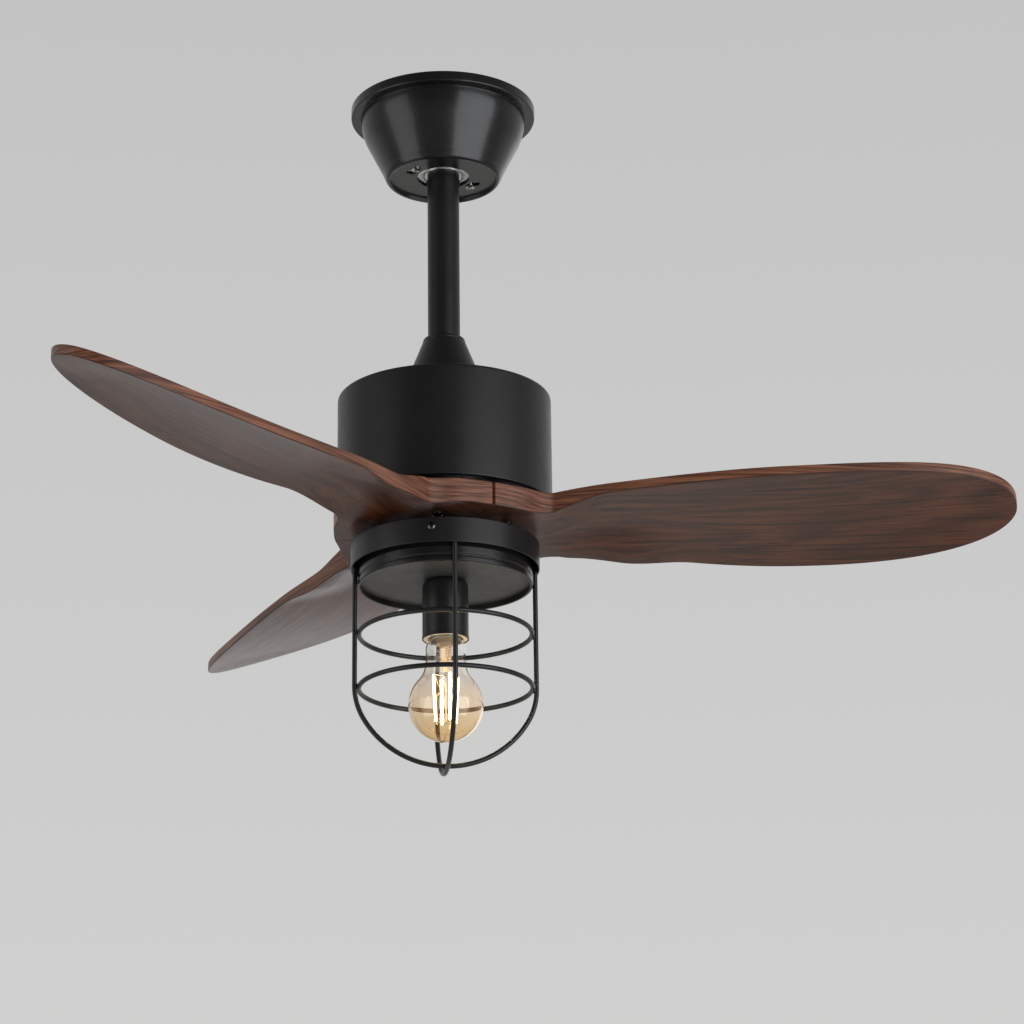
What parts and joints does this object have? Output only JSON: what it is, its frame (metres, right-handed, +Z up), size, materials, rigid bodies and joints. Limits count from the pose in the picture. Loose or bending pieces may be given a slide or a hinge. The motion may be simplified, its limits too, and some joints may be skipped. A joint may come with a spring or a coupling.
{
  "type": "ceiling fan with light",
  "caption": "Ceiling fan on a short downrod, with twisted walnut-look propeller blades and a caged filament lamp under the hub.",
  "frame": {"origin": "centre of the ceiling bracket's top face, on the ceiling plane", "axes": "+Z up into the ceiling, the fan hangs along -Z; +X and +Y level, the first blade points near +X"},
  "size_m": [0.7392, 0.8041, 0.5769],
  "materials": {
    "satin_black": "satin powder coat",
    "gloss_black": "semi-gloss enamel",
    "plate_grey": "matt",
    "zinc": "zinc plated",
    "nickel": "nickel plated",
    "steel": "machined",
    "brass": "stamped",
    "copper": "enamelled wire",
    "aluminium": "die cast",
    "walnut": "satin lacquer",
    "nylon": "moulded",
    "black_plastic": "moulded",
    "porcelain": "glazed",
    "wire_white": "insulation",
    "amber_glass": "clear amber",
    "clear_glass": "clear",
    "filament": "phosphor"
  },
  "bodies": {
    "ceiling_mount": {"ceiling_bracket": "zinc", "terminal_block": "nylon", "terminal_screws": "zinc", "earth_screw": "brass", "canopy": "gloss_black", "canopy_screws": "nickel"},
    "liner": {"ball_seat_liner": "nylon"},
    "hanger": {"hanger_ball": "zinc", "ball_cross_pin": "steel", "ball_set_screw": "steel", "downrod": "satin_black", "motor_coupling": "steel", "coupling_pin": "zinc", "pin_clip": "zinc", "coupling_screws": "steel", "motor_housing": "satin_black", "housing_lock_nut": "zinc", "hollow_shaft": "steel", "run_capacitor": "black_plastic", "stator_core": "steel", "stator_coils": "copper", "bearing_inner_races": "steel", "light_mount_plate": "satin_black", "light_nut": "zinc", "light_ring": "satin_black", "ring_screws": "satin_black", "light_pan": "satin_black", "lamp_plate": "plate_grey", "lamp_wires": "wire_white", "holder_nipple": "brass", "lamp_cup": "satin_black", "lamp_insulator": "porcelain", "screw_shell": "brass", "centre_contact": "brass", "cage_arch_side": "satin_black", "cage_arch_front": "satin_black", "cage_ring_upper": "satin_black", "cage_ring_lower": "satin_black", "cage_tabs": "satin_black"},
    "rotor": {"bearing_outer_races": "steel", "bearing_balls": "steel", "rotor_core": "steel", "rotor_top_bell": "aluminium", "rotor_bottom_bell": "aluminium", "rotor_bolts": "zinc", "blade_plate": "satin_black", "blade_plate_screws": "zinc", "blade_1": "walnut", "blade_2": "walnut", "blade_3": "walnut", "blade_screws": "satin_black"},
    "cover": {"coupling_cover": "satin_black", "cover_set_screw": "steel"},
    "bulb": {"bulb_cap": "zinc", "bulb_glass": "amber_glass", "bulb_stem": "clear_glass", "bulb_wires": "steel", "bulb_filaments": "filament"}
  },
  "joints": [
    {"name": "ball_swing_x", "type": "hinge", "parent": "ceiling_mount", "child": "liner", "pos_m": [0, 0, -0.046], "axis": [1, 0, 0], "range_deg": [-7, 7]},
    {"name": "ball_swing_y", "type": "hinge", "parent": "liner", "child": "hanger", "pos_m": [0, 0, -0.046], "axis": [0, 1, 0], "range_deg": [-7, 7]},
    {"name": "rotor_spin", "type": "hinge", "parent": "hanger", "child": "rotor", "pos_m": [0, 0, -0.37], "axis": [0, 0, 1], "continuous": true},
    {"name": "cover_slide", "type": "slide", "parent": "hanger", "child": "cover", "axis": [0, 0, 1], "range_m": [0, 0.09]},
    {"name": "bulb_unscrew", "type": "slide", "parent": "hanger", "child": "bulb", "axis": [0, 0, -1], "range_m": [0, 0.016]}
  ]
}
